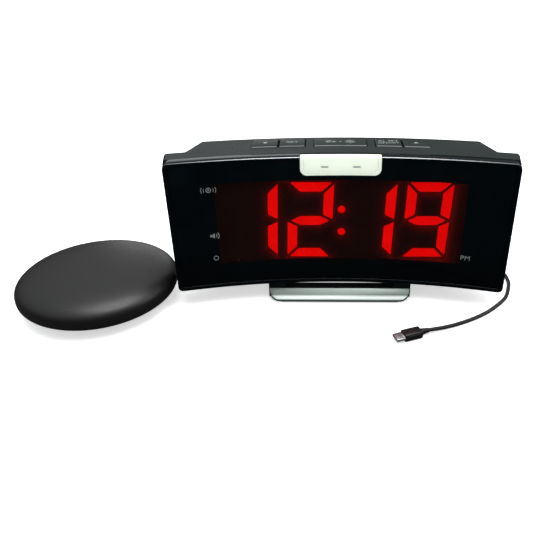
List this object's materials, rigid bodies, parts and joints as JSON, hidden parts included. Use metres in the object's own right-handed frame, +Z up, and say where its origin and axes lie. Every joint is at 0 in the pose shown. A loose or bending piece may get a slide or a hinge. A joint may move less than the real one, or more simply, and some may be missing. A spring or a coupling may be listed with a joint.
{
  "type": "bed shaker alarm clock",
  "caption": "Curved alarm clock with a large red display, flash lamp, top keys, a silver fronted foot, a charging lead and a separate round bed shaker pad.",
  "frame": {"origin": "on the table under the middle of the curved face, on the underside of the foot's front rubber strip", "axes": "+X to the right along the face, +Y to the back, +Z up; the face is hollow towards -Y"},
  "size_m": [0.3187, 0.1773, 0.0958],
  "materials": {
    "gloss_black": "polished black",
    "lens_black": "glossy tinted acrylic",
    "housing_black": "fine satin texture",
    "key_black": "satin",
    "film_red": "tinted film",
    "module_black": "matte",
    "led_red": "lit diffuser",
    "led_dark": "unlit diffuser",
    "lamp_white": "frosted",
    "reflector_grey": "satin white",
    "led_chip": "phosphor",
    "board_green": "solder mask",
    "part_black": "moulded",
    "trim_silver": "satin",
    "foot_black": "satin",
    "rubber_black": "matte",
    "steel": "plated",
    "plate": "nickel plated",
    "cone_paper": "pressed paper",
    "ferrite": "bare ferrite",
    "slider_grey": "satin",
    "ribbon_grey": "matte",
    "pad_black": "fine satin texture",
    "weight_metal": "sintered",
    "lead_black": "soft satin"
  },
  "bodies": {
    "clock": {"front_bezel": "gloss_black", "face_lens": "lens_black", "red_filter": "film_red", "led_module": "module_black", "lit_segments": "led_red", "dark_segments": "led_dark", "colon_dots": "led_red", "display_board": "board_green", "indicator_leds": "led_chip", "flash_lens": "lamp_white", "flash_reflector": "reflector_grey", "flash_leds": "led_chip", "flash_board": "board_green", "rear_housing": "housing_black", "key_board": "board_green", "key_switches": "part_black", "foot_base": "foot_black", "foot_trim": "trim_silver", "front_foot_pad": "rubber_black", "rear_foot_pads": "rubber_black", "foot_screws": "steel", "speaker_frame": "steel", "speaker_cone": "cone_paper", "speaker_magnet": "ferrite", "main_board": "board_green", "board_parts": "part_black", "volume_pot": "steel", "tone_pot": "steel", "mode_switch": "steel", "power_jack": "part_black", "shaker_jack": "part_black", "usb_port": "plate", "battery_contacts": "plate", "housing_screws": "steel", "board_screws": "steel", "ribbon_cable": "ribbon_grey", "usb_plug": "lead_black", "lead_start": "lead_black", "lead_coil": "lead_black", "lead_tie": "lead_black", "lead_run": "lead_black", "lead_connector": "lead_black"},
    "down_key": {"down_key": "key_black"},
    "set_key": {"set_key": "key_black"},
    "snooze_key": {"snooze_key": "key_black"},
    "alarm_key": {"alarm_key": "key_black"},
    "up_key": {"up_key": "key_black"},
    "volume_knob": {"volume_knob": "key_black"},
    "tone_knob": {"tone_knob": "key_black"},
    "mode_slider": {"mode_slider": "slider_grey"},
    "battery_door": {"battery_door": "housing_black"},
    "pad": {"pad_top_shell": "pad_black", "pad_bottom_shell": "pad_black", "pad_base": "rubber_black", "pad_motor": "steel", "motor_clamp": "plate", "pad_gland": "rubber_black", "pad_screws": "steel"},
    "rotor": {"motor_shaft": "plate", "eccentric_weight": "weight_metal"}
  },
  "joints": [
    {"name": "down_key_press", "type": "slide", "parent": "clock", "child": "down_key", "axis": [0, 0, -1], "range_m": [0, 0.0007], "stiffness_N_per_m": 800, "springref_m": -0.0004},
    {"name": "set_key_press", "type": "slide", "parent": "clock", "child": "set_key", "axis": [0, 0, -1], "range_m": [0, 0.0007], "stiffness_N_per_m": 800, "springref_m": -0.0004},
    {"name": "snooze_key_press", "type": "slide", "parent": "clock", "child": "snooze_key", "axis": [0, 0, -1], "range_m": [0, 0.0007], "stiffness_N_per_m": 800, "springref_m": -0.0004},
    {"name": "alarm_key_press", "type": "slide", "parent": "clock", "child": "alarm_key", "axis": [0, 0, -1], "range_m": [0, 0.0007], "stiffness_N_per_m": 800, "springref_m": -0.0004},
    {"name": "up_key_press", "type": "slide", "parent": "clock", "child": "up_key", "axis": [0, 0, -1], "range_m": [0, 0.0007], "stiffness_N_per_m": 800, "springref_m": -0.0004},
    {"name": "volume_turn", "type": "hinge", "parent": "clock", "child": "volume_knob", "pos_m": [0.046, 0.03737, 0.06385], "axis": [0, 1, 0], "range_deg": [-150, 150]},
    {"name": "tone_turn", "type": "hinge", "parent": "clock", "child": "tone_knob", "pos_m": [0.024, 0.03737, 0.06385], "axis": [0, 1, 0], "range_deg": [-150, 150]},
    {"name": "mode_slide", "type": "slide", "parent": "clock", "child": "mode_slider", "axis": [1, 0, 0], "range_m": [0, 0.006]},
    {"name": "battery_door_off", "type": "slide", "parent": "clock", "child": "battery_door", "axis": [0, 1, 0], "range_m": [0, 0.02]},
    {"name": "pad_lift", "type": "slide", "parent": "clock", "child": "pad", "axis": [0, 0, 1], "range_m": [0, 0.05]},
    {"name": "rotor_spin", "type": "hinge", "parent": "pad", "child": "rotor", "pos_m": [-0.162, -0.002, 0.01355], "axis": [1, 0, 0], "continuous": true}
  ]
}
